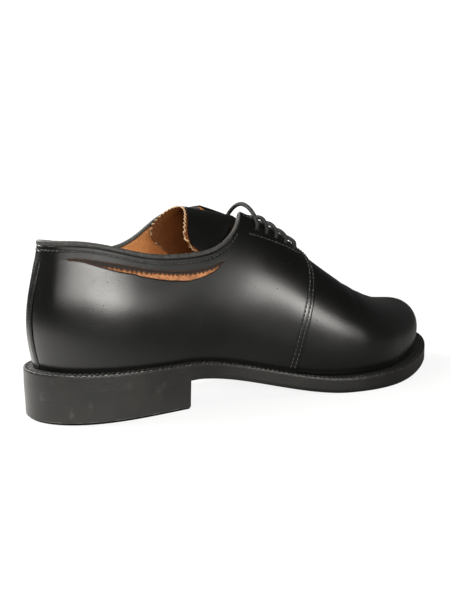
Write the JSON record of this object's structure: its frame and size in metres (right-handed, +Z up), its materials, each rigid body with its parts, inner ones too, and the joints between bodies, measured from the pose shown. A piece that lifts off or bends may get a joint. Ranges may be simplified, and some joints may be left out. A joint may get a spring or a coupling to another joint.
{
  "type": "derby shoe",
  "caption": "Low black leather derby shoe with open lacing, a slashed collar edge, a stitched welt all round and a square heel block.",
  "frame": {"origin": "middle of the sole's bounding box, on the floor", "axes": "+Y from heel to toe, +X towards the outer side of the foot, +Z up"},
  "size_m": [0.107, 0.302, 0.1162],
  "materials": {
    "sole_edge": "black edge dressing, brushed, semi-matt",
    "welt": "black, stitched, worn grey at the edge",
    "lining": "natural tan lining leather",
    "upper": "smooth black calf, satin gloss, creased and scuffed",
    "tongue": "black outside, brown lining inside",
    "lace": "round waxed black cord"
  },
  "bodies": {
    "root": {"heel": "sole_edge", "outsole": "sole_edge", "welt": "welt", "insole": "lining", "upper": "upper", "tongue": "tongue", "back_strip": "upper", "lace_loop": "lace", "lace_bar_1": "lace", "lace_bar_2": "lace", "lace_bar_3": "lace", "lace_bar_4": "lace"}
  },
  "joints": []
}
